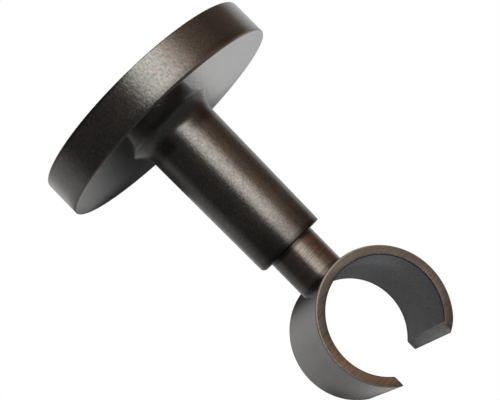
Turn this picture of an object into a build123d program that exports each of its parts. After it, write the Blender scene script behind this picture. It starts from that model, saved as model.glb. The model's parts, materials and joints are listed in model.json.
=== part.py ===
from build123d import *
import os
from math import radians, tan

# Ceiling bracket for a curtain pole, in millimetres.
# The origin is the centre of the face that lies against the ceiling, +Z is up and the pole runs along X.

# The pole and the split ring that carries it
pole_diameter = 20.0
pole_clearance = 0.1
ring_wall = 1.7
ring_width = 18.6
slot_width = 12.6
ring_bore_chamfer = 0.2
ring_edge_chamfer = 0.12

# The stem between the ring and the sleeve
stem_diameter = 9.2
stem_reach = 7.1
stem_seat_depth = 12.0
stem_clearance = 0.04
stem_end_chamfer = 0.4

# The sleeve, cast with a slight taper and a concave flared foot
sleeve_length = 29.7
sleeve_end_wall = 1.91
sleeve_taper = 0.8
sleeve_end_chamfer = 0.3
sleeve_mouth_chamfer = 0.25
flare_height = 3.35
flare_overhang = 1.83

# The spigot that centres the sleeve in the rose
spigot_wall = 1.7
spigot_setback = 0.6
spigot_clearance = 0.03
spigot_chamfer = 0.4

# The rose, cored at the back
rose_diameter = 45.0
rose_thickness = 6.9
rose_rim_wall = 2.4
rose_web = 2.4
rose_boss_wall = 2.4
rose_boss_setback = 0.2
rose_core_draft = 2.0
rose_core_chamfer = 0.8
rose_front_chamfer = 0.25
rose_back_chamfer = 0.3

# The metric hanger bolt that holds the bracket to the ceiling
bolt_diameter = 6.0
bolt_pitch = 1.0
bolt_clearance = 0.3
thread_depth = 9.5
drill_point_angle = 118.0
thread_chamfer = 0.5

# Radii and heights that follow from the sizes above
ring_bore_radius = pole_diameter / 2 + pole_clearance
ring_radius = ring_bore_radius + ring_wall
thread_radius = (bolt_diameter - bolt_pitch) / 2
bolt_bore_radius = bolt_diameter / 2 + bolt_clearance
stem_radius = stem_diameter / 2
stem_seat_radius = stem_radius + stem_clearance
spigot_radius = bolt_bore_radius + spigot_wall
spigot_seat_radius = spigot_radius + spigot_clearance
rose_radius = rose_diameter / 2

rose_face_z = -rose_thickness
sleeve_end_z = rose_face_z - sleeve_length
stem_top_z = sleeve_end_z + stem_seat_depth
pole_z = sleeve_end_z - stem_reach - ring_radius

# How close two lengths are when an edge is looked up by its size
same_size = 0.001


def circles_of(part, radius):
    """The circular edges of a piece that have this radius."""
    circles = part.edges().filter_by(GeomType.CIRCLE)
    return circles.filter_by(lambda edge: abs(edge.radius - radius) < same_size)


def circle_at(part, radius, height):
    """The circular edge of a turned piece that has this radius and lies at this height."""
    return circles_of(part, radius).filter_by_position(Axis.Z, height - same_size, height + same_size)


def make_ceiling_rose():
    """A thick disc, cored from the back, with a boss round the sleeve's spigot."""
    core_floor_z = rose_face_z + rose_web
    boss_top_z = -rose_boss_setback
    boss_top_radius = spigot_seat_radius + rose_boss_wall
    rim_inner_radius = rose_radius - rose_rim_wall
    lean = tan(radians(rose_core_draft))
    boss_floor_radius = boss_top_radius + (boss_top_z - core_floor_z) * lean
    core_floor_radius = rim_inner_radius + core_floor_z * lean
    with BuildPart() as rose:
        with BuildSketch(Plane.XZ):
            with BuildLine():
                Polyline(
                    (spigot_seat_radius, rose_face_z),
                    (rose_radius, rose_face_z),
                    (rose_radius, 0),
                    (rim_inner_radius, 0),
                    (core_floor_radius, core_floor_z),
                    (boss_floor_radius, core_floor_z),
                    (boss_top_radius, boss_top_z),
                    (spigot_seat_radius, boss_top_z),
                    close=True,
                )
            make_face()
        revolve(axis=Axis.Z)
        chamfer(circle_at(rose, core_floor_radius, core_floor_z), rose_core_chamfer)
        chamfer(circle_at(rose, boss_floor_radius, core_floor_z), rose_core_chamfer)
        chamfer(circle_at(rose, rose_radius, rose_face_z), rose_front_chamfer)
        chamfer(circle_at(rose, rose_radius, 0), rose_back_chamfer)
    return rose.part


def make_sleeve():
    """A tapered tube with a flared foot, a spigot above it and a counterbore for the stem below."""
    end_radius = stem_seat_radius + sleeve_end_wall
    top_radius = end_radius + (sleeve_length - flare_height) * tan(radians(sleeve_taper))
    body_end = (end_radius, sleeve_end_z)
    flare_start = (top_radius, rose_face_z - flare_height)
    foot = (top_radius + flare_overhang, rose_face_z)
    up_the_body = (flare_start[0] - body_end[0], flare_start[1] - body_end[1])
    spigot_top_z = -spigot_setback
    with BuildPart() as sleeve:
        with BuildSketch(Plane.XZ):
            with BuildLine():
                TangentArc(flare_start, foot, tangent=up_the_body)
                Polyline(
                    foot,
                    (spigot_radius, rose_face_z),
                    (spigot_radius, spigot_top_z),
                    (bolt_bore_radius, spigot_top_z),
                    (bolt_bore_radius, stem_top_z),
                    (stem_seat_radius, stem_top_z),
                    (stem_seat_radius, sleeve_end_z),
                    body_end,
                    flare_start,
                )
            make_face()
        revolve(axis=Axis.Z)
        chamfer(circle_at(sleeve, spigot_radius, spigot_top_z), spigot_chamfer)
        chamfer(circle_at(sleeve, stem_seat_radius, sleeve_end_z), sleeve_mouth_chamfer)
        chamfer(circle_at(sleeve, end_radius, sleeve_end_z), sleeve_end_chamfer)
    return sleeve.part


def make_pole_ring():
    """A split ring on a round stem that is tapped for the hanger bolt."""
    along_pole = Location((0, 0, pole_z), (0, 90, 0))
    drill_point_depth = thread_radius / tan(radians(drill_point_angle / 2))
    thread_end_z = stem_top_z - thread_depth
    upward = (Align.CENTER, Align.CENTER, Align.MIN)
    downward = (Align.CENTER, Align.CENTER, Align.MAX)
    with BuildPart() as ring:
        with Locations(along_pole):
            Cylinder(ring_radius, ring_width)
        chamfer(ring.edges().filter_by(GeomType.CIRCLE), ring_edge_chamfer)
        with Locations((0, 0, pole_z)):
            Cylinder(stem_radius, stem_top_z - pole_z, align=upward)
        chamfer(circle_at(ring, stem_radius, stem_top_z), stem_end_chamfer)
        with Locations(along_pole):
            Cylinder(ring_bore_radius, ring_width, mode=Mode.SUBTRACT)
        chamfer(circles_of(ring, ring_bore_radius), ring_bore_chamfer)
        with Locations((0, 0, pole_z)):
            Box(ring_width, slot_width, ring_radius, align=downward, mode=Mode.SUBTRACT)
        with Locations((0, 0, stem_top_z)):
            Cylinder(thread_radius, thread_depth, align=downward, mode=Mode.SUBTRACT)
        with Locations((0, 0, thread_end_z)):
            Cone(0.0, thread_radius, drill_point_depth, align=downward, mode=Mode.SUBTRACT)
        chamfer(circle_at(ring, thread_radius, stem_top_z), thread_chamfer)
    return ring.part


os.makedirs("parts", exist_ok=True)
export_step(make_ceiling_rose(), "parts/ceiling_rose.step")
export_step(make_sleeve(), "parts/sleeve.step")
export_step(make_pole_ring(), "parts/pole_ring.step")
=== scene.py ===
import json
from math import acos, atan, cos, degrees, pi, radians, sin, tan, tau
from types import SimpleNamespace

import bmesh
import bpy
from mathutils import Matrix, Vector


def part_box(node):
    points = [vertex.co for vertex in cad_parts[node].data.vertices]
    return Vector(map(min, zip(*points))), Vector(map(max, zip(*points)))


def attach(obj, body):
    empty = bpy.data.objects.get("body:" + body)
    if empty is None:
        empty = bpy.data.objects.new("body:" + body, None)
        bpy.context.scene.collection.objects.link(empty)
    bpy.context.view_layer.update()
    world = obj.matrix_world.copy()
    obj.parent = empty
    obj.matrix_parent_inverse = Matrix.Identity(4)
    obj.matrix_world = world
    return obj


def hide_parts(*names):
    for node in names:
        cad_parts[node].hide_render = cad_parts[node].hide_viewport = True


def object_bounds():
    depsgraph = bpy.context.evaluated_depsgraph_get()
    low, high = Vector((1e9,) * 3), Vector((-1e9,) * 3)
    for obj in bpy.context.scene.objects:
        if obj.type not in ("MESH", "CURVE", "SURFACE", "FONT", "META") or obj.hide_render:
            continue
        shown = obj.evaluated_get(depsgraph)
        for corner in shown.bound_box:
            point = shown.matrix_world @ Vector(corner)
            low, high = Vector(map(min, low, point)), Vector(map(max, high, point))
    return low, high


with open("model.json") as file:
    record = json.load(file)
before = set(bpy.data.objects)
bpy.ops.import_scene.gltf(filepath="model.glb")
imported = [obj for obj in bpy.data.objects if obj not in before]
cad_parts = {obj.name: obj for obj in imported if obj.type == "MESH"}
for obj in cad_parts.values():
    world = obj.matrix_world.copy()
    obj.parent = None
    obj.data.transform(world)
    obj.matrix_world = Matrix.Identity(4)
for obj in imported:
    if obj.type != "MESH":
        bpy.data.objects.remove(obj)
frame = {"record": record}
cad_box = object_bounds()

# Lengths are in millimetres, angles in degrees, and colours are linear. Blender counts in metres, and so do
# cad_box and object_centre.
MM = 0.001
MICRON = 0.000001
HALF_TURN = 180.0
QUARTER_TURN = 90.0
WHITE = (1.0, 1.0, 1.0)

# The colour sockets of a Mix node, which share their names with its number sockets.
MIX_UNDER = 6
MIX_OVER = 7
MIX_RESULT = 2

# Where the pieces lie, read from the frame.
rose_low, rose_high = (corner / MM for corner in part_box("ceiling_rose"))
sleeve_low, sleeve_high = (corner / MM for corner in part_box("sleeve"))
ring_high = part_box("pole_ring")[1] / MM
mounts = {mount["name"]: mount for mount in frame["record"]["mounts"]}
pole_z = mounts["pole_seat"]["pos_m"][2] / MM
ring_bore = mounts["pole_seat"]["dims"]["r_mm"]
bolt_bore = mounts["bolt_bore"]["dims"]["r_mm"]
thread_radius = mounts["hanger_bolt"]["dims"]["r_mm"]
object_centre = (cad_box[0] + cad_box[1]) / 2

rose_radius = rose_high.x
rose_face_z = rose_low.z
sleeve_end_z = sleeve_low.z
foot_radius = sleeve_high.x
spigot_top_z = sleeve_high.z
ring_radius = ring_high.y
ring_half_width = ring_high.x
stem_top_z = ring_high.z

# The rose, cored at the back. Its front edge is worn most on one side, counted round from +X to +Y.
rose_front_round = 0.12
rose_worn_round = 0.55
rose_worn_side = -12.0
rose_back_round = 0.3
rose_rim_wall = 2.4
rose_rim_round = 0.3
rose_web = 2.4
rose_core_lean = 2.0
rose_core_round = 0.8
rose_boss_wall = 2.4
rose_boss_setback = 0.2
rose_boss_round = 0.2

# The sleeve, worn most on one side of its end, and the spigot that centres it in the rose.
sleeve_end_radius = 6.55
sleeve_top_radius = 6.92
sleeve_end_round = 0.15
sleeve_worn_round = 0.85
sleeve_worn_side = -110.0
flare_height = 3.35
flare_z = rose_face_z - flare_height
spigot_radius = 5.0
spigot_fit = 0.03
spigot_round = 0.4
stem_seat_radius = 4.64
mouth_round = 0.25

# The ring, with one lip worn at its front corner, and its stem.
slot_half_width = 6.3
ring_edge_round = 0.3
ring_bore_round = 0.2
lip_round = 0.15
lip_corner_round = 1.2
lip_corner_reach = 0.05
stem_radius = 4.6
stem_end_round = 0.4
stem_bite = 0.4
thread_depth = 9.5
thread_chamfer = 0.5
drill_point_angle = 118.0

# How finely the round forms are divided.
turns = 192
round_steps = 6
flare_steps = 16
sweep_steps = 200
rail_steps = 40
sharp_angle = 30.0


class Wire:
    """One socket of a node tree. Arithmetic on it adds Math nodes, and add() adds any other node."""

    def __init__(self, tree, socket=None):
        self.tree = tree
        self.socket = socket

    def add(self, kind, settings=None, inputs=None, output=0):
        """Adds a node, sets it up, then fills its sockets, and gives back one of its outputs."""
        node = self.tree.nodes.new(kind)
        for name, value in (settings or {}).items():
            setattr(node, name, value)
        for name, value in (inputs or {}).items():
            if isinstance(value, Wire):
                self.tree.links.new(value.socket, node.inputs[name])
            else:
                node.inputs[name].default_value = value
        return Wire(self.tree, node.outputs[output] if node.outputs else None)

    def math(self, operation, *values):
        """Adds a Math node."""
        return self.add("ShaderNodeMath", {"operation": operation}, dict(enumerate(values)))

    def __add__(self, other):
        return self.math("ADD", self, other)

    def __radd__(self, other):
        return self.math("ADD", other, self)

    def __sub__(self, other):
        return self.math("SUBTRACT", self, other)

    def __rsub__(self, other):
        return self.math("SUBTRACT", other, self)

    def __mul__(self, other):
        return self.math("MULTIPLY", self, other)

    def __rmul__(self, other):
        return self.math("MULTIPLY", other, self)

    def __truediv__(self, other):
        return self.math("DIVIDE", self, other)

    def __rtruediv__(self, other):
        return self.math("DIVIDE", other, self)

    def __pow__(self, other):
        return self.math("POWER", self, other)

    def __rpow__(self, other):
        return self.math("POWER", other, self)

    def __neg__(self):
        return self.math("MULTIPLY", self, -1.0)

    def __abs__(self):
        return self.math("ABSOLUTE", self)

    def most(self, other):
        """The larger of two values."""
        return self.math("MAXIMUM", self, other)

    def fade(self, start, end):
        """0 at start and 1 at end, smooth between them and steady beyond."""
        if start > end:
            return 1.0 - self.fade(end, start)
        settings = {"interpolation_type": "SMOOTHSTEP"}
        return self.add("ShaderNodeMapRange", settings, {"Value": self, "From Min": start, "From Max": end})


def new_tree(block):
    """An empty node tree for a material or the world."""
    block.use_nodes = True
    block.node_tree.nodes.clear()
    return Wire(block.node_tree)


def new_material(name, make_shader):
    """A material whose shader make_shader() adds to its empty tree."""
    material = bpy.data.materials.new(name)
    tree = new_tree(material)
    tree.add("ShaderNodeOutputMaterial", None, {"Surface": make_shader(tree)})
    return material


def mix_colour(factor, under, over):
    """The colour under where factor is 0, and the colour over where it is 1."""
    settings = {"data_type": "RGBA"}
    under = under if isinstance(under, Wire) else (*under, 1.0)
    over = over if isinstance(over, Wire) else (*over, 1.0)
    inputs = {"Factor": factor, MIX_UNDER: under, MIX_OVER: over}
    return factor.add("ShaderNodeMix", settings, inputs, MIX_RESULT)


def shaded(colour, strength):
    """A colour made lighter or darker by a strength that changes over the surface."""
    return strength.add("ShaderNodeVectorMath", {"operation": "SCALE"}, {0: colour, "Scale": strength})


def split(vector):
    """The x, y and z of a vector socket."""
    parts = vector.add("ShaderNodeSeparateXYZ", None, {0: vector}).socket.node.outputs
    return [Wire(vector.tree, part) for part in parts]


def distance(across, up):
    """How far a point lies from the axis that both are measured from."""
    return (across * across + up * up) ** 0.5


def place_on_piece(tree):
    """The point's place in millimetres as a vector."""
    place = tree.add("ShaderNodeTexCoord", output="Object")
    return tree.add("ShaderNodeVectorMath", {"operation": "SCALE"}, {0: place, "Scale": 1 / MM})


# Forms


def link(thing):
    """Puts an object into the scene."""
    bpy.context.scene.collection.objects.link(thing)
    return thing


def arc(centre, radius, start, end, steps):
    """Points round part of a circle, both ends included."""
    angles = [radians(start + (end - start) * step / steps) for step in range(steps + 1)]
    return [(centre[0] + radius * cos(angle), centre[1] + radius * sin(angle)) for angle in angles]


def rounded(corners):
    """A closed outline from corners of (across, up) or (across, up, rounding); a rounding becomes an arc."""
    outline = []
    for index, corner in enumerate(corners):
        here = Vector(corner[:2])
        if len(corner) == 2:
            outline.append(here)
            continue
        rounding = corner[2]
        back = (Vector(corners[index - 1][:2]) - here).normalized()
        ahead = (Vector(corners[(index + 1) % len(corners)][:2]) - here).normalized()
        half_corner = back.angle(ahead) / 2
        centre = here + (back + ahead).normalized() * (rounding / sin(half_corner))
        reach = rounding / tan(half_corner)
        start = (here + back * reach - centre).normalized()
        end = (here + ahead * reach - centre).normalized()
        shares = [step / round_steps for step in range(round_steps + 1)]
        outline += [centre + start.slerp(end, share) * rounding for share in shares]
    return outline


def lathe(outlines):
    """A closed body turned round Z, with an outline of (radius, height) for each turn; 0 is on the axis."""
    form = bmesh.new()
    hoops = []
    for points in zip(*outlines):
        if points[0][0] == 0:
            hoops.append([form.verts.new((0.0, 0.0, points[0][1] * MM))] * turns)
            continue
        hoop = []
        for turn, (radius, height) in enumerate(points):
            angle = tau * turn / turns
            hoop.append(form.verts.new(Vector((radius * cos(angle), radius * sin(angle), height)) * MM))
        hoops.append(hoop)
    for lower, upper in zip(hoops, hoops[1:] + hoops[:1]):
        for here in range(turns):
            there = (here + 1) % turns
            corners = list(dict.fromkeys((lower[here], lower[there], upper[there], upper[here])))
            if len(corners) > 2:
                form.faces.new(corners)
    bmesh.ops.recalc_face_normals(form, faces=form.faces)
    return form


def worn_shares(side):
    """How much an edge is worn at each turn: most at one side, not at all a quarter turn away and beyond."""
    return [max(cos(tau * turn / turns - radians(side)), 0.0) for turn in range(turns)]


def body_from(form, name):
    """An object from a finished form."""
    mesh = bpy.data.meshes.new(name)
    form.to_mesh(mesh)
    form.free()
    return link(bpy.data.objects.new(name, mesh))


def join(body, other):
    """Makes two bodies that run into each other one."""
    union = body.modifiers.new("union", "BOOLEAN")
    union.operation = "UNION"
    union.solver = "EXACT"
    union.object = other
    whole = bpy.data.meshes.new_from_object(body.evaluated_get(bpy.context.evaluated_depsgraph_get()))
    body.modifiers.clear()
    body.data = whole
    bpy.data.objects.remove(other)


def dress(piece, node, material):
    """Shades a piece smooth up to its sharp edges, gives it its finish and lets it stand for its node."""
    form = bmesh.new()
    form.from_mesh(piece.data)
    for edge in form.edges:
        edge.smooth = edge.calc_face_angle(0.0) < radians(sharp_angle)
    for face in form.faces:
        face.smooth = True
    form.to_mesh(piece.data)
    form.free()
    flats = piece.modifiers.new("true_flats", "WEIGHTED_NORMAL")
    flats.keep_sharp = True
    piece.data.materials.clear()
    piece.data.materials.append(material)
    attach(piece, "root")
    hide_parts(node)


def make_rose():
    """A thick disc with softened edges, cored at the back round a boss for the sleeve's spigot."""
    seat_radius = spigot_radius + spigot_fit
    boss_radius = seat_radius + rose_boss_wall
    boss_z = -rose_boss_setback
    core_z = rose_face_z + rose_web
    rim_radius = rose_radius - rose_rim_wall
    lean = tan(radians(rose_core_lean))
    return body_from(lathe([rounded([
        (seat_radius, rose_face_z),
        (rose_radius, rose_face_z, rose_front_round + worn * (rose_worn_round - rose_front_round)),
        (rose_radius, 0.0, rose_back_round),
        (rim_radius, 0.0, rose_rim_round),
        (rim_radius + core_z * lean, core_z, rose_core_round),
        (boss_radius + (boss_z - core_z) * lean, core_z, rose_core_round),
        (boss_radius, boss_z, rose_boss_round),
        (seat_radius, boss_z),
    ]) for worn in worn_shares(rose_worn_side)]), "rose_rounded")


def make_sleeve():
    """A tapered tube with an unevenly rounded end, a flared foot, a spigot above and a seat for the stem."""
    overhang = foot_radius - sleeve_top_radius
    flare_radius = (flare_height ** 2 + overhang ** 2) / (2 * overhang)
    flare_end = HALF_TURN - 2 * degrees(atan(overhang / flare_height))
    flare_centre = (sleeve_top_radius + flare_radius, flare_z)
    flare = arc(flare_centre, flare_radius, HALF_TURN, flare_end, flare_steps)
    return body_from(lathe([rounded([
        (stem_seat_radius, sleeve_end_z, mouth_round),
        (sleeve_end_radius, sleeve_end_z, sleeve_end_round + worn * (sleeve_worn_round - sleeve_end_round)),
        *flare,
        (spigot_radius, rose_face_z),
        (spigot_radius, spigot_top_z, spigot_round),
        (bolt_bore, spigot_top_z),
        (bolt_bore, stem_top_z),
        (stem_seat_radius, stem_top_z),
    ]) for worn in worn_shares(sleeve_worn_side)]), "sleeve_rounded")


def rail(inset, back_round, front_round, radius, outward):
    """One side of the ring's section as points of (along the pole, radius), with both its edges rounded."""
    half = ring_half_width - inset
    back = (back_round - half, radius - outward * back_round)
    front = (half - front_round, radius - outward * front_round)
    shares = [(1 - cos(pi * step / rail_steps)) / 2 for step in range(1, rail_steps)]
    points = arc(back, back_round, HALF_TURN, HALF_TURN - outward * QUARTER_TURN, round_steps)
    points += [(back[0] + (front[0] - back[0]) * share, radius) for share in shares]
    return points + arc(front, front_round, outward * QUARTER_TURN, 0.0, round_steps)


def band_section(inset, worn):
    """The ring's section: its outer rail, then its inner one back. Worn rounds the front outer edge more."""
    edge = ring_edge_round - inset
    front_edge = edge + worn * (lip_corner_round - ring_edge_round)
    lip = ring_bore_round - inset
    outer_rail = rail(inset, edge, front_edge, ring_radius - inset, 1)
    inner_rail = rail(inset, lip, lip, ring_bore + inset, -1)
    return outer_rail + inner_rail[::-1]


def make_band():
    """The split ring without its stem: its section swept round the pole from the near lip to the far one."""
    lip_arc = arc((lip_round, lip_round), -lip_round, QUARTER_TURN, 0.0, round_steps)
    stations = [(0.0, gap, inset) for inset, gap in lip_arc]
    stations += [(step / sweep_steps, lip_round, 0.0) for step in range(1, sweep_steps)]
    stations += [(1.0, gap, inset) for inset, gap in lip_arc[::-1]]
    form = bmesh.new()
    hoops = []
    for share, gap, inset in stations:
        hoop = []
        worn = max(1 - share / lip_corner_reach, 0.0) ** 2
        for along, radius in band_section(inset, worn):
            near = -acos((slot_half_width + gap) / radius)
            far = pi - near
            angle = near + (far - near) * share
            point = Vector((along, radius * cos(angle), pole_z + radius * sin(angle)))
            hoop.append(form.verts.new(point * MM))
        hoops.append(hoop)
    count = len(hoops[0])
    for first, second in zip(hoops, hoops[1:]):
        for here in range(count):
            there = (here + 1) % count
            form.faces.new((first[here], first[there], second[there], second[here]))
    for hoop in (hoops[0], hoops[-1]):
        for here in range(count // 2 - 1):
            form.faces.new((hoop[here], hoop[here + 1], hoop[count - 2 - here], hoop[count - 1 - here]))
    bmesh.ops.recalc_face_normals(form, faces=form.faces)
    return body_from(form, "ring_rounded")


def make_stem():
    """The round stem with its tapped hole, whose foot bites into the ring's wall."""
    thread_end_z = stem_top_z - thread_depth
    drill_point = thread_radius / tan(radians(drill_point_angle / 2))
    foot_z = pole_z + ring_bore + stem_bite
    return body_from(lathe(turns * [rounded([
        (0.0, foot_z),
        (stem_radius, foot_z),
        (stem_radius, stem_top_z, stem_end_round),
        (thread_radius + thread_chamfer, stem_top_z),
        (thread_radius, stem_top_z - thread_chamfer),
        (thread_radius, thread_end_z),
        (0.0, thread_end_z - drill_point),
    ])]), "stem")


def make_ring():
    """The split ring and its stem as one piece."""
    ring = make_band()
    join(ring, make_stem())
    return ring


# Bronze finish

# In the finishes +X is the front, -X the back, -Y the left and +Y the right. Each pair says where a change
# starts and where it is full, in millimetres, or in shares of the noise for blots, clouds and patches. Many of
# the lights and shades are painted on as the photograph shows them, so they stay under other light.
body_colour = (0.072, 0.070, 0.066)
brown_bloom = (0.098, 0.072, 0.058)
worn_brown = (0.19, 0.145, 0.115)
# Pale dust, which also stands for painted light that lifts the dark corners.
corner_dust_and_light = (0.2, 0.19, 0.185)
shadow_line = (0.012, 0.012, 0.012)
metal_share = 0.96
satin_roughness = 0.21
edge_roughness = 0.6

# The grain of the plating: blots to a millimetre, microns of height, and tone about the noise's middle.
noise_middle = 0.5
noise_detail = 2.0
grain_scale = 2.6
grain_height = 24.0
grain_tone = 1.3
cloud_scale = 0.16
cloud_tone = 0.28
bloom_scale = 1.1
bloom_blots = (0.42, 0.68)
bloom_share = 0.3


def noise(place, scale):
    """Soft noise from 0 to 1, with about this many blots to a millimetre."""
    return place.add("ShaderNodeTexNoise", None, {"Vector": place, "Scale": scale, "Detail": noise_detail})


def streaks(place, stretch):
    """Noise drawn out along the axes that stretch scales least."""
    drawn = place.add("ShaderNodeVectorMath", {"operation": "MULTIPLY"}, {0: place, 1: stretch})
    return noise(drawn, 1.0)


def toned(colour, cloud, grain, swing):
    """A colour with slow changes of tone and a fine grain."""
    return shaded(colour, 1.0 + (cloud - noise_middle) * cloud_tone + (grain - noise_middle) * swing)


def bloomed(place, colour):
    """A colour with brown coming through it in soft blots."""
    bloom = noise(place, bloom_scale)
    return mix_colour(bloom.fade(*bloom_blots) * bloom_share, colour, brown_bloom)


def bronze(finish):
    def make_shader(tree):
        place = place_on_piece(tree)
        grain = noise(place, grain_scale)
        cloud = noise(place, cloud_scale)
        colour, metal, roughness, relief = finish(place, grain, cloud)
        bump = tree.add("ShaderNodeBump", None, {"Strength": 1.0, "Distance": MICRON, "Height": relief})
        return tree.add("ShaderNodeBsdfPrincipled", None, {
            "Base Color": colour,
            "Metallic": metal,
            "Roughness": roughness,
            "Normal": bump,
        })
    return make_shader


# The rose's face, which is the flat side round the sleeve's foot.
face_starts = (0.3, 0.1)
face_grain_scale = 1.9
face_grain_height = 26.0
face_grain_tone = 1.3
face_roughness = 0.14
face_dull = 0.15
smooth_back = (-10.0, -19.0)
smooth_left = (2.0, -4.0)
smooth_gain = 0.06
smooth_relief = 0.75
rough_back = (-4.0, -17.0)
rough_right = (0.0, 6.0)
rough_gain = 0.14

# The rose's rim, which is its round side, and its front edge, with painted light and shade on the rim.
rim_front = (0.0, 8.0)
rim_light_left = (-10.0, -6.0)
rim_light_right = (2.0, -3.0)
rim_light_tone = 0.14
rim_dark_left = (1.0, 6.0)
rim_dark_right = (16.0, 10.0)
rim_dark_tone = 0.2
rim_low = (1.8, 0.4)
rim_low_right = (-16.0, -8.0)
rim_low_tone = 0.4
# Painted shade along the rim's back edge on the left.
rim_top = (-0.8, -0.2)
rim_top_left = (-5.0, -8.0)
rim_top_tone = 0.5
rubbed_low = (1.3, 0.2)
rubbed_right = (-4.0, 6.0)
rubbed_share = 0.6
rose_edge_starts = (0.5, 0.1)
rose_edge_least = 0.1
rose_edge_right = (-14.0, 2.0)
rose_edge_even = 0.25
rose_edge_cloudy = 0.3
rose_edge_clouds = (0.35, 0.65)
rose_edge_back = (-6.0, -14.0)
rose_edge_back_left = (4.0, -4.0)
rose_edge_dull = 0.7

# Dust and painted light in the corner where the rose meets the sleeve's foot: pale colour that lifts the dark
# corner.
rose_dust_and_light_reach = (2.4, 0.4)
rose_dust_and_light_right = (2.0, 7.0)
rose_dust_and_light_least = 0.2
rose_dust_and_light_cover = 0.5
rose_dust_and_light_dull = 0.35


def painted_rim_light(x, y, z):
    """Painted light and shade on the rose's rim: how much lighter or darker it is than plain bronze."""
    light = y.fade(*rim_light_left) * y.fade(*rim_light_right) * rim_light_tone
    dark = y.fade(*rim_dark_left) * y.fade(*rim_dark_right) * rim_dark_tone
    low = (z - rose_face_z).fade(*rim_low) * y.fade(*rim_low_right) * rim_low_tone
    return x.fade(*rim_front) * (light - dark) - low


def rose_edge_wear(x, y, z, cloud):
    """How far the rose's front edge is rubbed: in patches, most on the right, and not at the back left."""
    inward = rose_radius - distance(x, y)
    edge = inward.most(z - rose_face_z).fade(*rose_edge_starts)
    patchy = rose_edge_even + rose_edge_cloudy * cloud.fade(*rose_edge_clouds)
    kept = x.fade(*rose_edge_back) * y.fade(*rose_edge_back_left)
    return edge * (rose_edge_least + y.fade(*rose_edge_right) * patchy) * (1.0 - kept)


def rose_finish(place, grain, cloud):
    """Satin all over, smoother on the face, with brown rubbed through along the front edge, painted light and
    shade on the rim, and some dust with painted light in the corner.
    """
    x, y, z = split(place)
    above_face = z - rose_face_z
    face = above_face.fade(*face_starts)
    rim = 1.0 - face
    edge = rose_edge_wear(x, y, z, cloud)
    face_grain = noise(place, face_grain_scale)
    # Dust and painted light round the sleeve's foot, more on the right.
    dust_and_light = (distance(x, y) - foot_radius).fade(*rose_dust_and_light_reach) * face
    dust_and_light = dust_and_light * (rose_dust_and_light_least + y.fade(*rose_dust_and_light_right) * (1.0 - rose_dust_and_light_least))

    colour = toned(bloomed(place, body_colour), cloud, grain, grain_tone)
    colour = shaded(colour, 1.0 + (face_grain - noise_middle) * face * face_grain_tone)
    # Painted light and shade on the rim: lighter and darker in front, and darker low down towards the front
    # edge.
    colour = shaded(colour, 1.0 + painted_rim_light(x, y, z) * rim)
    # Painted shade along the rim's back edge on the left.
    colour = shaded(colour, 1.0 - z.fade(*rim_top) * y.fade(*rim_top_left) * rim_top_tone)
    rubbed = above_face.fade(*rubbed_low) * y.fade(*rubbed_right) * rim * rubbed_share
    colour = mix_colour(rubbed, colour, brown_bloom)
    colour = mix_colour(edge, colour, worn_brown)
    colour = mix_colour(dust_and_light * rose_dust_and_light_cover, colour, corner_dust_and_light)
    metal = metal_share - face * face_dull - dust_and_light * rose_dust_and_light_dull - edge * rose_edge_dull

    smooth = x.fade(*smooth_back) * y.fade(*smooth_left)
    rough = x.fade(*rough_back) * y.fade(*rough_right)
    face_change = face_roughness - satin_roughness + rough * rough_gain - smooth * smooth_gain
    roughness = satin_roughness + face * face_change + edge * rim * (edge_roughness - satin_roughness)
    face_relief = face_grain * face_grain_height * (1.0 - smooth * smooth_relief)
    relief = rim * grain * grain_height + face * face_relief
    return colour, metal, roughness, relief


# Painted shade: the sleeve gets darker towards its end, in steps of (how far up, how much), and where its
# flare starts.
sleeve_shades = (((8.0, 1.0), 0.34), ((1.3, 0.4), 0.3), ((0.5, 0.1), 0.26))
sleeve_end_reach = (0.6, 0.2)
sleeve_end_gain = 0.1
flare_shade_up = 0.2
flare_shade_reach = (2.2, 0.6)
flare_shade_tone = 0.5
flare_light_front = (0.0, 4.0)
flare_light_left = (-5.0, -2.8)
flare_light_right = (0.8, -1.2)

# Dust and painted light on the sleeve's foot, a thin line all round and more on the right.
foot_dust_and_light_reach = (0.9, 0.1)
foot_dust_and_light_share = 0.15
foot_dust_and_light_right_reach = (2.8, 1.0)
foot_dust_and_light_right = (4.8, 7.2)
foot_dust_and_light_right_share = 0.75
foot_dust_and_light_cover = 0.6
foot_dust_and_light_dull = 0.5


def sleeve_finish(place, grain, cloud):
    """Satin all over, with painted shade towards the lower end and where the flare starts, and dust with
    painted light on the foot.
    """
    x, y, z = split(place)
    rise = z - sleeve_end_z
    below_face = rose_face_z - z
    lit = x.fade(*flare_light_front) * y.fade(*flare_light_left) * y.fade(*flare_light_right)
    flare_shade = abs(z - flare_z - flare_shade_up).fade(*flare_shade_reach) * (1.0 - lit)
    end_shade = sum(rise.fade(*reach) * tone for reach, tone in sleeve_shades)
    dust_and_light = below_face.fade(*foot_dust_and_light_reach) * foot_dust_and_light_share
    dust_and_light = dust_and_light + below_face.fade(*foot_dust_and_light_right_reach) * y.fade(*foot_dust_and_light_right) * foot_dust_and_light_right_share

    colour = toned(bloomed(place, body_colour), cloud, grain, grain_tone)
    # Painted shade towards the lower end and where the flare starts, but not where the front is lit.
    colour = shaded(colour, 1.0 - end_shade - flare_shade * flare_shade_tone)
    # Pale dust and painted light on the foot.
    colour = mix_colour(dust_and_light * foot_dust_and_light_cover, colour, corner_dust_and_light)
    roughness = satin_roughness + rise.fade(*sleeve_end_reach) * sleeve_end_gain
    return colour, metal_share - dust_and_light * foot_dust_and_light_dull, roughness, grain * grain_height


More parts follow.
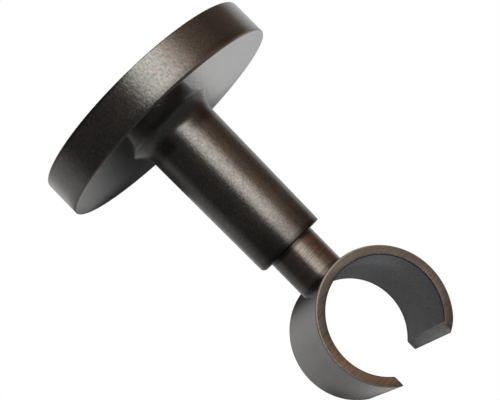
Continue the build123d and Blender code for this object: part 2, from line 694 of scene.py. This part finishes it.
# Where the ring's surfaces start, counted past its outside, bore, ends and slot, and down from the pole.
stem_starts = (0.02, 0.12)
bore_starts = (0.2, 0.1)
sawn_starts = (0.06, 0.02)
lip_starts = (0.06, 0.02)
lip_below = (-6.0, -7.0)
ring_edge_starts = (0.35, 0.2)
ring_edge_depth = (-0.35, -0.15)


def ring_place(place, grain, cloud):
    """Where a point of the ring lies, and its share of the stem, the bore, a sawn face, a lip or an edge."""
    x, y, z = split(place)
    at = SimpleNamespace(place=place, grain=grain, cloud=cloud, x=x, y=y, z=z, height=z - pole_z)
    radius = distance(y, at.height)
    at.past_ring = radius - ring_radius
    at.past_bore = radius - ring_bore
    at.from_end = ring_half_width - abs(x)
    at.past_slot = abs(y) - slot_half_width
    at.below = at.height.fade(*lip_below)
    at.stem = at.past_ring.fade(*stem_starts)
    at.bore = at.past_bore.fade(*bore_starts)
    at.sawn = at.from_end.fade(*sawn_starts)
    at.lips = at.past_slot.fade(*lip_starts) * at.below
    at.edge = at.sawn.most(at.from_end.fade(*ring_edge_starts)) * at.past_ring.fade(*ring_edge_depth)
    at.edge = at.edge * (1.0 - at.stem)
    return at


# The ring's outside, with painted light low down in front and painted shade low down at the back.
ring_colour = (0.078, 0.073, 0.067)
ring_grain_height = 43.2
ring_grain_tone = 1.82
outside_low = (1.0, -7.0)
outside_front = (-6.0, 6.0)
outside_front_light = 0.55
outside_back = (2.0, -7.0)
outside_back_shade = 0.4
outside_foot = (-4.0, -8.5)
outside_foot_front = (-2.0, 6.0)
outside_foot_light = 0.6


def outside_paint(at):
    """The colour of the ring's outside, with painted light low down in front, more at the bottom, and painted
    shade low down at the back.
    """
    front = at.x.fade(*outside_front) * outside_front_light
    back = at.x.fade(*outside_back) * outside_back_shade
    foot = at.height.fade(*outside_foot) * at.x.fade(*outside_foot_front) * outside_foot_light
    light = 1.0 + at.height.fade(*outside_low) * (front - back) + foot
    return shaded(toned(bloomed(at.place, ring_colour), at.cloud, at.grain, ring_grain_tone), light)


# The stem, with painted warm light on the right and painted shade under the sleeve and at the saddle.
stem_colour = (0.083, 0.073, 0.065)
stem_warm_colour = (0.122, 0.084, 0.062)
stem_warm_right = (0.0, 1.8)
stem_warm_share = 0.45
stem_mouth = (1.0, 0.3)
stem_mouth_shade = 0.6
stem_saddle = (0.75, 0.1)
stem_saddle_shade = 0.6
stem_roughness = 0.22
stem_grain_height = 12.0
turning_stretch = (0.22, 0.22, 4.4)
turning_height = 17.0
turning_tone = 1.9
turning_share = 0.6


def stem_paint(at, turning):
    """The colour of the stem, with its turning marks, painted warm light on its right and painted shade under
    the sleeve and at the saddle.
    """
    # Painted shade under the sleeve and at the saddle, and painted warm light on the right.
    mouth = (sleeve_end_z - at.z).fade(*stem_mouth) * stem_mouth_shade
    saddle = at.past_ring.fade(*stem_saddle) * stem_saddle_shade
    base = mix_colour(at.y.fade(*stem_warm_right) * stem_warm_share, stem_colour, stem_warm_colour)
    marks = turning * turning_share + at.grain * (1.0 - turning_share)
    return shaded(toned(base, at.cloud, marks, turning_tone), 1.0 - mouth - saddle)


# The bore, dull, with painted light towards its top and its front, and less bare metal just above the lips.
bore_colour = (0.079, 0.080, 0.083)
bore_roughness = 0.58
bore_middle = (-6.0, 3.0)
bore_middle_front = (-3.0, 5.0)
bore_middle_light = 0.25
bore_middle_front_light = 0.6
bore_top = (0.3, 9.3)
bore_top_front = (0.0, 5.0)
bore_top_light = 1.0
bore_top_front_light = 1.2
bore_foot = (-5.5, -8.0)
bore_foot_back = (9.0, -3.0)
bore_foot_dull = 0.35


def bore_paint(at):
    """The colour of the bore, with painted light towards its top and its front."""
    middle_light = bore_middle_light + at.x.fade(*bore_middle_front) * bore_middle_front_light
    top_light = bore_top_light + at.x.fade(*bore_top_front) * bore_top_front_light
    light = 1.0 + at.height.fade(*bore_middle) * middle_light + at.height.fade(*bore_top) * top_light
    return toned(shaded(bore_colour, light), at.cloud, at.grain, grain_tone)


# The sawn end faces, browner low down on the left, with painted shade at both sides and painted light along
# the right.
sawn_grey = (0.066, 0.058, 0.050)
sawn_brown = (0.079, 0.053, 0.037)
sawn_roughness = 0.42
saw_stretch = (0.3, 0.3, 3.2)
saw_height = 16.0
saw_tone = 1.0
patch_scale = 0.55
sawn_shade_left = (2.0, -6.0)
sawn_shade_left_up = (-1.5, 6.0)
sawn_shade_left_share = 1.3
sawn_shade_right = (2.0, 7.0)
sawn_shade_right_down = (-4.0, -7.0)
sawn_shade_right_share = 0.4
sawn_light_right = (6.0, 10.0)
sawn_light_height = -1.5
sawn_light_reach = (5.0, 1.5)
sawn_light_share = 0.6
sawn_shade_tone = 0.3
brown_patches = (0.4, 0.65)
brown_patch_share = 0.4
brown_down = (9.0, -3.0)
brown_left = (-2.0, -8.0)
brown_full = (0.1, 1.0)


def sawn_paint(at, marks, patches):
    """The colour of the sawn end faces, with their saw marks and painted shade and light."""
    # Painted shade at both sides, less painted light along the right.
    sawn_shade_and_light = at.y.fade(*sawn_shade_left) * at.height.fade(*sawn_shade_left_up) * sawn_shade_left_share
    sawn_shade_and_light = sawn_shade_and_light + at.y.fade(*sawn_shade_right) * at.height.fade(*sawn_shade_right_down) * sawn_shade_right_share
    sawn_shade_and_light = sawn_shade_and_light - at.y.fade(*sawn_light_right) * abs(at.height - sawn_light_height).fade(*sawn_light_reach) * sawn_light_share
    brown = patches.fade(*brown_patches) * brown_patch_share
    brown = (brown + at.height.fade(*brown_down) * at.y.fade(*brown_left)).fade(*brown_full)
    light = 1.0 + (marks - noise_middle) * saw_tone - sawn_shade_and_light * sawn_shade_tone
    return shaded(mix_colour(brown, sawn_grey, sawn_brown), light)


# The filed lips of the slot, with painted light towards the front and downwards.
lip_colour = (0.18, 0.18, 0.178)
lip_roughness = 0.4
lip_least_light = 0.25
lip_back = (-9.0, -3.0)
lip_back_light = 0.6
lip_front = (-3.0, 4.0)
lip_front_light = 0.45
lip_foot_light = 1.1
lip_top = (-9.6, -8.6)
lip_top_shade = 0.3


def lip_paint(at):
    """The colour of the slot's lips, with painted light towards the front and downwards."""
    light = lip_least_light + at.x.fade(*lip_back) * lip_back_light + at.x.fade(*lip_front) * lip_front_light
    light = light * (lip_foot_light - at.height.fade(*lip_top) * lip_top_shade)
    return toned(shaded(lip_colour, light), at.cloud, at.grain, grain_tone)


# The thin lines along the bore's two ends and along the lips: painted shadow lines at the bore's ends and the
# lips' outer edges, a wider band of painted shade at the bore's back end, and a lighter line along the lips'
# inner edges.
bore_line_reach = (0.3, 0.2)
bore_line_depth = (0.25, 0.15)
bore_back_reach = (1.1, 0.4)
bore_back_share = 0.8
lip_line_colour = (0.21, 0.205, 0.2)
lip_line_reach = (0.25, 0.12)
lip_line_depth = (0.3, 0.12)
lip_line_front = (-5.0, 6.0)
lip_line_least = 0.25
lip_rim_reach = (0.3, 0.1)
lip_rim_depth = (-0.25, -0.1)


def ring_lines(at):
    """The thin lines along the ring's edges, each with its colour, in the order that they are laid on. The
    dark ones are painted shadow lines.
    """
    bore_line = at.from_end.fade(*bore_line_reach) * (1.0 - at.sawn) * at.past_bore.fade(*bore_line_depth)
    bore_back = (ring_half_width + at.x).fade(*bore_back_reach) * at.bore * bore_back_share
    lip_line = at.past_slot.fade(*lip_line_reach) * at.below * at.past_bore.fade(*lip_line_depth)
    lip_line = lip_line * (lip_line_least + at.x.fade(*lip_line_front) * (1.0 - lip_line_least))
    lip_rim = at.past_slot.fade(*lip_rim_reach) * at.below * at.past_ring.fade(*lip_rim_depth)
    return (
        (bore_line, shadow_line),
        (bore_back, shadow_line),
        (lip_line, lip_line_colour),
        (lip_rim, shadow_line),
    )


# The ring's outer edges, rubbed in patches down to bare brown, with less bare metal above the foot.
worn_light = (0.17, 0.135, 0.112)
ring_edge_patchy = 0.5
ring_edge_foot = (-9.5, -8.0)


def ring_finish(place, grain, cloud):
    """Satin outside, turning marks on the stem, a dull bore, sawn end faces, filed lips and rubbed edges, with
    painted light, shade and shadow lines.
    """
    at = ring_place(place, grain, cloud)
    marks = streaks(place, saw_stretch)
    turning = streaks(place, turning_stretch)
    patches = noise(place, patch_scale)
    edge_wear = at.edge * (1.0 - ring_edge_patchy + ring_edge_patchy * patches)
    round_edge = at.edge * (1.0 - at.sawn)

    colour = mix_colour(at.stem, outside_paint(at), stem_paint(at, turning))
    colour = mix_colour(at.bore, colour, bore_paint(at))
    colour = mix_colour(at.sawn, colour, sawn_paint(at, marks, patches))
    colour = mix_colour(at.lips, colour, lip_paint(at))
    colour = mix_colour(edge_wear, colour, worn_light)
    for line, line_colour in ring_lines(at):
        colour = mix_colour(line, colour, line_colour)
    metal = metal_share * (1.0 - edge_wear * (1.0 - at.sawn) * at.height.fade(*ring_edge_foot))
    metal = metal - at.bore * at.height.fade(*bore_foot) * at.x.fade(*bore_foot_back) * bore_foot_dull

    surfaces = (
        (at.stem, stem_roughness),
        (at.bore, bore_roughness),
        (at.sawn, sawn_roughness),
        (at.lips, lip_roughness),
        (round_edge, edge_roughness),
    )
    roughness = satin_roughness + sum(share * (rough - satin_roughness) for share, rough in surfaces)
    relief = grain * ring_grain_height * (1.0 - at.stem.most(at.sawn))
    relief = relief + at.stem * (turning * turning_height + grain * stem_grain_height)
    relief = relief + at.sawn * marks * saw_height
    return colour, metal, roughness, relief


dress(make_rose(), "ceiling_rose", new_material("bronze_rose", bronze(rose_finish)))
dress(make_sleeve(), "sleeve", new_material("bronze_sleeve", bronze(sleeve_finish)))
dress(make_ring(), "pole_ring", new_material("bronze_ring", bronze(ring_finish)))


# Studio

# The camera stands where the photograph was taken from. Azimuth and elevation say which way it looks.
camera_place = Vector((180.34, -64.27, -39.06))
camera_azimuth = 160.2349
camera_elevation = 3.9086
camera_roll = -44.5454
camera_lens = 79.897
sensor_width = 36.0
camera_clip = 10.0


def toward(azimuth, elevation):
    """A direction out of the object: azimuth goes round from +X to +Y, and elevation up to +Z."""
    flat = cos(radians(elevation))
    return Vector((flat * cos(radians(azimuth)), flat * sin(radians(azimuth)), sin(radians(elevation))))


def facing(place, ahead):
    """A matrix at a place whose -Z looks ahead and whose Y leans upwards."""
    out = -ahead
    side = Vector((0.0, 0.0, 1.0)).cross(out).normalized()
    turn = Matrix((side, out.cross(side), out)).transposed()
    return Matrix.Translation(place) @ turn.to_4x4()


def make_camera():
    """The camera, which is rolled so that the bracket hangs across the picture."""
    data = bpy.data.cameras.new("camera")
    data.sensor_fit = "HORIZONTAL"
    data.sensor_width = sensor_width
    data.lens = camera_lens
    data.clip_start = camera_clip * MM
    camera = link(bpy.data.objects.new("camera", data))
    level = facing(camera_place * MM, toward(camera_azimuth, camera_elevation))
    camera.matrix_world = level @ Matrix.Rotation(radians(camera_roll), 4, "Z")
    bpy.context.scene.camera = camera


# The tent that the metal mirrors, set so that its reflections follow the photograph's. Angles are in degrees:
# side goes round from +X to +Y, behind goes on round from -X, and height is up from level. Each pair says
# where a part starts to show and where it is full.
tent_radius = 300.0
gear_segments = 64

# Its window in front.
window_glow = 5.6
window_low_tint = (1.0, 0.975, 0.94)
window_high_tint = (1.0, 1.04, 1.02)
window_warm_tint = (1.03, 0.95, 0.88)
window_tint_height = (6, 16)
window_warm = (0, 32)
window_left = (-29, -3.5)
window_right = (42, 4)
window_foot = (-8, -3)
window_toe = 8
window_toe_side = (6, -8)

# The dark cloth left of the window, the warm cloth right of it and the ground under it.
dark_left = (-128, -94)
dark_level = 0.17
dark_near_level = 0.28
dark_near = (-62, -28)
dark_tint = (1.0, 0.93, 0.9)
warm_left = (-8, 16)
warm_falls = (44, 72)
warm_right = (112, 98)
warm_near_level = 0.92
warm_far_level = 0.42
warm_tint = (1.0, 0.73, 0.56)
under_level = 0.26
under_tint = (0.95, 1.0, 1.04)
under = (-10, -26)
front_narrows = (-6, -28)
front_narrowing = 14

# The white cloth behind on the left.
white_level = 0.8
white_far_level = 0.37
white_far = (-52, -34)
white_high_level = 0.98
white_high = (9, 17)
white_high_side = (-34, -44)
white_low_level = 1.05
white_low = (0, -4)
white_low_side = (-62, -48)

# The dark gap between the white cloth and the grey.
gap_level = 0.05
gap_low_level = 0.02
gap_low = (1, -3)
gap_near = (-25, -21.5)
gap_far = (-15.5, -7.9)
gap_step = 5.6
gap_step_height = (-6.5, -3.5)
gap_soft = (-18, 14)
gap_soft_height = (0, 12)

# The grey cloth behind on the right, with a bright patch, a glow low down and the dark ground.
grey_low_level = 0.56
grey_near_level = 0.34
grey_near = (24, 0)
grey_level = 0.7
grey_high_level = 0.86
grey_low = (2, -12)
grey_high = (6, 17)
patch_level = 1.05
patch = (-3, -10)
patch_height = (-4.2, -5.6)
patch_foot = (-14, -9)
glow_level = 0.66
glow = (10, -6)
glow_height = (-17, -23)
deep_level = 0.1
deep = (-22, -64)


def angle_to(across, ahead):
    """The angle of a direction in degrees, from straight ahead."""
    return across.math("ARCTAN2", across, ahead) * degrees(1)


def cloth(level, tint=WHITE):
    """A brightness of the tent's cloth, as a share of what its window gives."""
    return [level * part / window_glow for part in tint]


def white_cloth(behind, height):
    """White cloth that gets darker towards the gap, and brighter high up and low down."""
    high = height.fade(*white_high) * behind.fade(*white_high_side)
    low = height.fade(*white_low) * behind.fade(*white_low_side)
    colour = mix_colour(behind.fade(*white_far), cloth(white_level), cloth(white_far_level))
    colour = mix_colour(high, colour, cloth(white_high_level))
    return mix_colour(low, colour, cloth(white_low_level))


def grey_cloth(behind, height):
    """Grey cloth that gets brighter upwards, with a bright patch below level and a glow farther down."""
    low_grey = mix_colour(behind.fade(*grey_near), cloth(grey_low_level), cloth(grey_near_level))
    bright = behind.fade(*patch) * height.fade(*patch_height) * height.fade(*patch_foot)
    glowing = behind.fade(*glow) * height.fade(*glow_height)
    colour = mix_colour(height.fade(*grey_low), cloth(grey_level), low_grey)
    colour = mix_colour(height.fade(*grey_high), colour, cloth(grey_high_level))
    colour = mix_colour(bright, colour, cloth(patch_level))
    return mix_colour(glowing, colour, cloth(glow_level))


def back_cloth(behind, height):
    """White cloth, a dark gap that leans and softens upwards, and grey cloth, all dark towards the ground."""
    gap = mix_colour(height.fade(*gap_low), cloth(gap_level), cloth(gap_low_level))
    leaning = behind - height.fade(*gap_step_height) * gap_step
    soft = height.fade(*gap_soft_height)
    grey_share = leaning.fade(*gap_far) * (1.0 - soft * (1.0 - behind.fade(*gap_soft)))
    colour = mix_colour(behind.fade(*gap_near), white_cloth(behind, height), gap)
    colour = mix_colour(grey_share, colour, grey_cloth(behind, height))
    return mix_colour(height.fade(*deep), colour, cloth(deep_level))


def window_pane(side, height):
    """The window's light: cooler high up and warmer on the right."""
    low = cloth(window_glow, window_low_tint)
    high = cloth(window_glow, window_high_tint)
    pane = mix_colour(height.fade(*window_tint_height), low, high)
    return mix_colour(side.fade(*window_warm), pane, cloth(window_glow, window_warm_tint))


def tent_cloth(tree):
    """A bright window in front, dark on its left and warm on its right, and the back cloth behind."""
    x, y, z = split(place_on_piece(tree))
    side = angle_to(y, x)
    behind = angle_to(-y, -x)
    height = z.math("ARCSINE", z / tent_radius) * degrees(1)
    narrowing = height.fade(*front_narrows) * front_narrowing
    front_right = (side + narrowing).fade(*warm_right)
    front = (side - narrowing).fade(*dark_left) * front_right
    dark = mix_colour(side.fade(*dark_near), cloth(dark_level, dark_tint), cloth(dark_near_level, dark_tint))
    warm_near = cloth(warm_near_level, warm_tint)
    warm = mix_colour(side.fade(*warm_falls), warm_near, cloth(warm_far_level, warm_tint))
    window_height = height + side.fade(*window_toe_side) * window_toe
    window = side.fade(*window_left) * side.fade(*window_right) * window_height.fade(*window_foot)
    colour = mix_colour(front, back_cloth(behind, height), dark)
    colour = mix_colour(side.fade(*warm_left) * front_right, colour, warm)
    colour = mix_colour(height.fade(*under) * front, colour, cloth(under_level, under_tint))
    colour = mix_colour(window, colour, window_pane(side, height))
    return tree.add("ShaderNodeEmission", None, {"Color": colour, "Strength": window_glow})


def stand(name, form, material, centre):
    """A piece of studio gear: it shows in the metal, but not to the camera, and it casts no shadow."""
    gear = body_from(form, name)
    gear.data.materials.append(material)
    gear.location = centre
    gear.visible_camera = False
    gear.visible_diffuse = False
    gear.visible_shadow = False


def make_tent():
    """A round tent that only the metal sees."""
    form = bmesh.new()
    bmesh.ops.create_uvsphere(form, u_segments=gear_segments, v_segments=gear_segments // 2,
                              radius=tent_radius * MM)
    stand("tent", form, new_material("tent_cloth", tent_cloth), object_centre)


def gauze(tree, level, share):
    """Dark gauze that shows by a share and is clear elsewhere."""
    clear = tree.add("ShaderNodeBsdfTransparent", None, {"Color": (*WHITE, 1.0)})
    dark = tree.add("ShaderNodeEmission", None, {"Color": (*WHITE, 1.0), "Strength": level})
    return tree.add("ShaderNodeMixShader", None, {0: share, 1: clear, 2: dark})


# A dark veil behind the sleeve, close under the rose, that the sleeve mirrors: a dark sheet that puts painted
# shade into the sleeve's reflection.
veil_radius = 45.0
veil_depth = 30.0
veil_level = 0.05
veil_strength = 0.95
veil_height = (-17.5, -11.5)
veil_near_height = (-14.5, -12.5)
veil_near = (22, 12)
veil_back = (-14, -8)
veil_front = (85, 30)


def veil_gauze(tree):
    """Painted shade close under the rose, with soft edges."""
    x, y, z = split(place_on_piece(tree))
    behind = angle_to(-y, -x)
    far_share = z.fade(*veil_height)
    share = far_share + (z.fade(*veil_near_height) - far_share) * behind.fade(*veil_near)
    return gauze(tree, veil_level, share * behind.fade(*veil_back) * behind.fade(*veil_front) * veil_strength)


def make_veil():
    """A strip of gauze round the rose and the sleeve."""
    form = bmesh.new()
    bmesh.ops.create_cone(form, cap_ends=False, segments=gear_segments, radius1=veil_radius * MM,
                          radius2=veil_radius * MM, depth=veil_depth * MM)
    bmesh.ops.translate(form, verts=form.verts, vec=(0.0, 0.0, -veil_depth / 2 * MM))
    stand("veil", form, new_material("dark_gauze", veil_gauze), Vector())


# A dark flag behind the ring that its outside mirrors low down and towards the back: a dark sheet that puts
# painted shade into the ring's reflection.
flag_place = -14.0
flag_radius = 18.0
flag_level = 0.05
flag_strength = 0.78
flag_hole = (10.5, 11.5)
flag_fade = (16.5, 12.5)
flag_height = (-2.0, -7.0)
flag_left = (-2.0, -5.0)


def flag_gauze(tree):
    """Painted shade in its lower left part, with a hole in the middle."""
    y, z = split(place_on_piece(tree))[1:]
    height = z - pole_z
    radius = distance(y, height)
    share = radius.fade(*flag_hole) * radius.fade(*flag_fade) * height.fade(*flag_height) * y.fade(*flag_left)
    return gauze(tree, flag_level, share * flag_strength)


def make_flag():
    """A round piece of gauze, square to the pole."""
    square_on = Matrix.Rotation(radians(QUARTER_TURN), 3, "Y")
    form = bmesh.new()
    bmesh.ops.create_circle(form, cap_ends=True, segments=gear_segments, radius=flag_radius * MM)
    bmesh.ops.rotate(form, verts=form.verts, cent=Vector(), matrix=square_on)
    bmesh.ops.translate(form, verts=form.verts, vec=(flag_place * MM, 0.0, pole_z * MM))
    stand("flag", form, new_material("dark_flag", flag_gauze), Vector())


# The pale floor, the white world and the one lamp. The floor lies well below, because the bracket hangs.
floor_drop = 300.0
floor_radius = 1100.0
floor_segments = 96
floor_paint = (0.8, 0.8, 0.8)
floor_white_share = 0.7
floor_near_share = 0.2
floor_far_share = 0.9
world_fill = 0.3
lamp_azimuth = 5.0
lamp_elevation = 22.0
lamp_distance = 500.0
lamp_width = 330.0


def seen_ray(tree):
    """1 for what the camera, the metal or glass sees, and 0 for light on its way elsewhere."""
    rays = tree.add("ShaderNodeLightPath").socket.node.outputs
    seen = [Wire(tree.tree, rays[name]) for name in ("Is Camera Ray", "Is Glossy Ray", "Is Transmission Ray")]
    return seen[0].most(seen[1]).most(seen[2])


def make_world():
    """White where the camera or the metal looks, and a plain fill light elsewhere."""
    world = bpy.data.worlds.new("studio")
    bpy.context.scene.world = world
    tree = new_tree(world)
    background = tree.add("ShaderNodeBackground", None, {
        "Color": (*WHITE, 1.0),
        "Strength": world_fill + seen_ray(tree) * (1.0 - world_fill),
    })
    tree.add("ShaderNodeOutputWorld", None, {"Surface": background})


def pale_floor(tree):
    """Pale paint that takes a shadow and turns into the white backdrop farther out."""
    x, y = split(place_on_piece(tree))[:2]
    far = distance(x, y).fade(floor_near_share * floor_radius, floor_far_share * floor_radius)
    paint = tree.add("ShaderNodeBsdfDiffuse", None, {"Color": (*floor_paint, 1.0)})
    light = tree.add("ShaderNodeEmission", None, {"Color": (*WHITE, 1.0), "Strength": 1.0})
    share = seen_ray(tree) * (floor_white_share + far * (1.0 - floor_white_share))
    return tree.add("ShaderNodeMixShader", None, {0: share, 1: paint, 2: light})


def make_floor():
    """A round floor below the object."""
    form = bmesh.new()
    bmesh.ops.create_circle(form, cap_ends=True, segments=floor_segments, radius=floor_radius * MM)
    floor = body_from(form, "floor")
    floor.data.materials.append(new_material("pale_floor", pale_floor))
    floor.location = (0.0, 0.0, cad_box[0].z - floor_drop * MM)


def make_lamp():
    """A soft square lamp in front, as bright as the tent's window, that faces the object."""
    out = toward(lamp_azimuth, lamp_elevation)
    width = lamp_width * MM
    data = bpy.data.lights.new("window_lamp", "AREA")
    data.size = width
    data.energy = window_glow * pi * width * width
    lamp = link(bpy.data.objects.new("window_lamp", data))
    lamp.matrix_world = facing(object_centre + out * lamp_distance * MM, -out)
    lamp.visible_camera = False
    lamp.visible_glossy = False


make_camera()
make_world()
make_floor()
make_tent()
make_veil()
make_flag()
make_lamp()

bpy.context.scene.view_settings.view_transform = "Standard"
